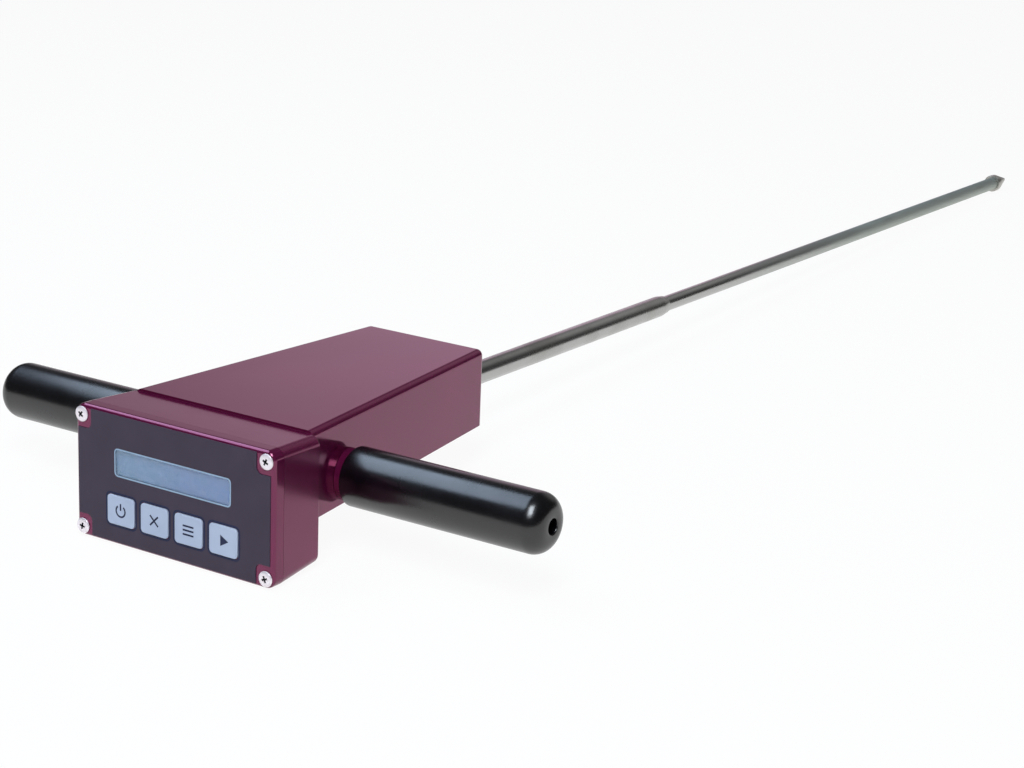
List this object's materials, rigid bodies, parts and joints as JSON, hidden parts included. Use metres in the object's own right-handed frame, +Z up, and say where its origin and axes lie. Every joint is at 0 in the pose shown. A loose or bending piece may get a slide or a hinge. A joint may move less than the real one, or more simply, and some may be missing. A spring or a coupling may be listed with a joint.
{
  "type": "soil penetrometer",
  "caption": "Hand penetrometer with a boxed display and keys, cross handle with grips, tapered sensor housing and stepped steel shaft ending in a cone.",
  "frame": {"origin": "on the plane that the front case stands on, under the middle of the box round the whole part", "axes": "+X along the handle to the right of a user who reads the panel, +Y along the shaft towards the cone, +Z up through the housing roof"},
  "size_m": [0.3346, 1.0012, 0.0684],
  "materials": {
    "painted_casting": "gloss maroon paint",
    "panel_film": "satin charcoal film",
    "display_window": "clear",
    "display_glass": "pale blue grey",
    "diffuser": "white",
    "key_plastic": "satin pale blue",
    "grip_vinyl": "satin black",
    "black_rubber": "matt black",
    "black_plastic": "matt black",
    "circuit_board": "green lacquer",
    "nickel": "bright nickel plate",
    "steel": "polished stainless steel",
    "black_steel": "black oxide",
    "brass": "satin",
    "aluminium": "satin",
    "cell_sleeve": "printed sleeve"
  },
  "bodies": {
    "handle_unit": {"front_case": "painted_casting", "front_lid": "painted_casting", "rear_housing": "painted_casting", "rear_cover": "painted_casting", "left_collar": "painted_casting", "right_collar": "painted_casting", "panel_overlay": "panel_film", "lcd_window": "display_window", "lcd_glass": "display_glass", "lcd_backlight": "diffuser", "left_grip": "grip_vinyl", "right_grip": "grip_vinyl", "lid_gasket": "black_rubber", "sensor_rings": "black_rubber", "lead_grommet": "black_rubber", "sensor_lead": "black_rubber", "lcd_bezel": "black_plastic", "key_switches": "black_plastic", "board_chips": "black_plastic", "battery_holder": "black_plastic", "shaft_bush": "black_plastic", "lcd_board": "circuit_board", "key_board": "circuit_board", "main_board": "circuit_board", "sonar_board": "circuit_board", "lid_screws": "nickel", "housing_screws": "nickel", "cover_screws": "nickel", "lock_nuts": "nickel", "board_spacers": "nickel", "data_port": "nickel", "display_screws": "steel", "board_screws": "steel", "handle_bar": "steel", "load_cell_stud": "steel", "upper_shaft": "steel", "clamp_screws": "black_steel", "board_standoffs": "brass", "handle_block": "aluminium", "load_cell": "aluminium", "sonar_sender": "aluminium", "sonar_receiver": "aluminium", "batteries": "cell_sleeve"},
    "power_key": {"power_key": "key_plastic"},
    "delete_key": {"delete_key": "key_plastic"},
    "review_key": {"review_key": "key_plastic"},
    "start_key": {"start_key": "key_plastic"},
    "lower_shaft": {"lower_shaft": "steel"},
    "cone_tip": {"cone_tip": "steel"},
    "port_plug": {"port_plug": "black_rubber"}
  },
  "joints": [
    {"name": "power_press", "type": "slide", "parent": "handle_unit", "child": "power_key", "axis": [0, 1, 0], "range_m": [0, 0.0005], "stiffness_N_per_m": 400},
    {"name": "delete_press", "type": "slide", "parent": "handle_unit", "child": "delete_key", "axis": [0, 1, 0], "range_m": [0, 0.0005], "stiffness_N_per_m": 400},
    {"name": "review_press", "type": "slide", "parent": "handle_unit", "child": "review_key", "axis": [0, 1, 0], "range_m": [0, 0.0005], "stiffness_N_per_m": 400},
    {"name": "start_press", "type": "slide", "parent": "handle_unit", "child": "start_key", "axis": [0, 1, 0], "range_m": [0, 0.0005], "stiffness_N_per_m": 400},
    {"name": "lower_shaft_unscrew", "type": "hinge", "parent": "handle_unit", "child": "lower_shaft", "pos_m": [0, -0.0474, 0.0375], "axis": [0, 1, 0], "continuous": true},
    {"name": "cone_unscrew", "type": "hinge", "parent": "lower_shaft", "child": "cone_tip", "pos_m": [0, 0.4756, 0.0375], "axis": [0, 1, 0], "continuous": true},
    {"name": "port_plug_pull", "type": "slide", "parent": "handle_unit", "child": "port_plug", "axis": [0, 1, 0], "range_m": [0, 0.012]}
  ]
}
